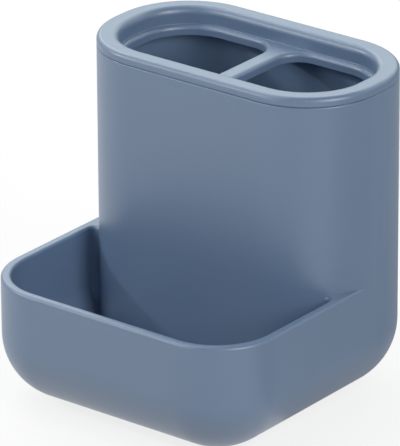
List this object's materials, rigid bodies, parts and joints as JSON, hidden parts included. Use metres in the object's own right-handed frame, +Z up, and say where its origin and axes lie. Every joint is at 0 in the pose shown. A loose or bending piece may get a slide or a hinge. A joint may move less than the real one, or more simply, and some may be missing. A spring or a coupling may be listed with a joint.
{
  "type": "toothbrush holder",
  "caption": "Toothbrush holder with a rounded tower, a lift-out lid insert with openings, and an open tray moulded in front of the tower.",
  "frame": {"origin": "centre of the bounding box at the underside of the foot pads, on the surface the holder stands on", "axes": "+Z up along the tower, -Y towards the tray at the front, +X to the right as seen from the front"},
  "size_m": [0.102, 0.103, 0.1074],
  "materials": {
    "body_plastic": "satin",
    "lid_plastic": "satin",
    "pad_rubber": "matte"
  },
  "bodies": {
    "base": {"body": "body_plastic", "pad_front_left": "pad_rubber", "pad_front_right": "pad_rubber", "pad_back_left": "pad_rubber", "pad_back_right": "pad_rubber"},
    "lid": {"lid_insert": "lid_plastic"}
  },
  "joints": [
    {"name": "lid_lift", "type": "slide", "parent": "base", "child": "lid", "axis": [0, 0, 1], "range_m": [0, 0.03]}
  ]
}
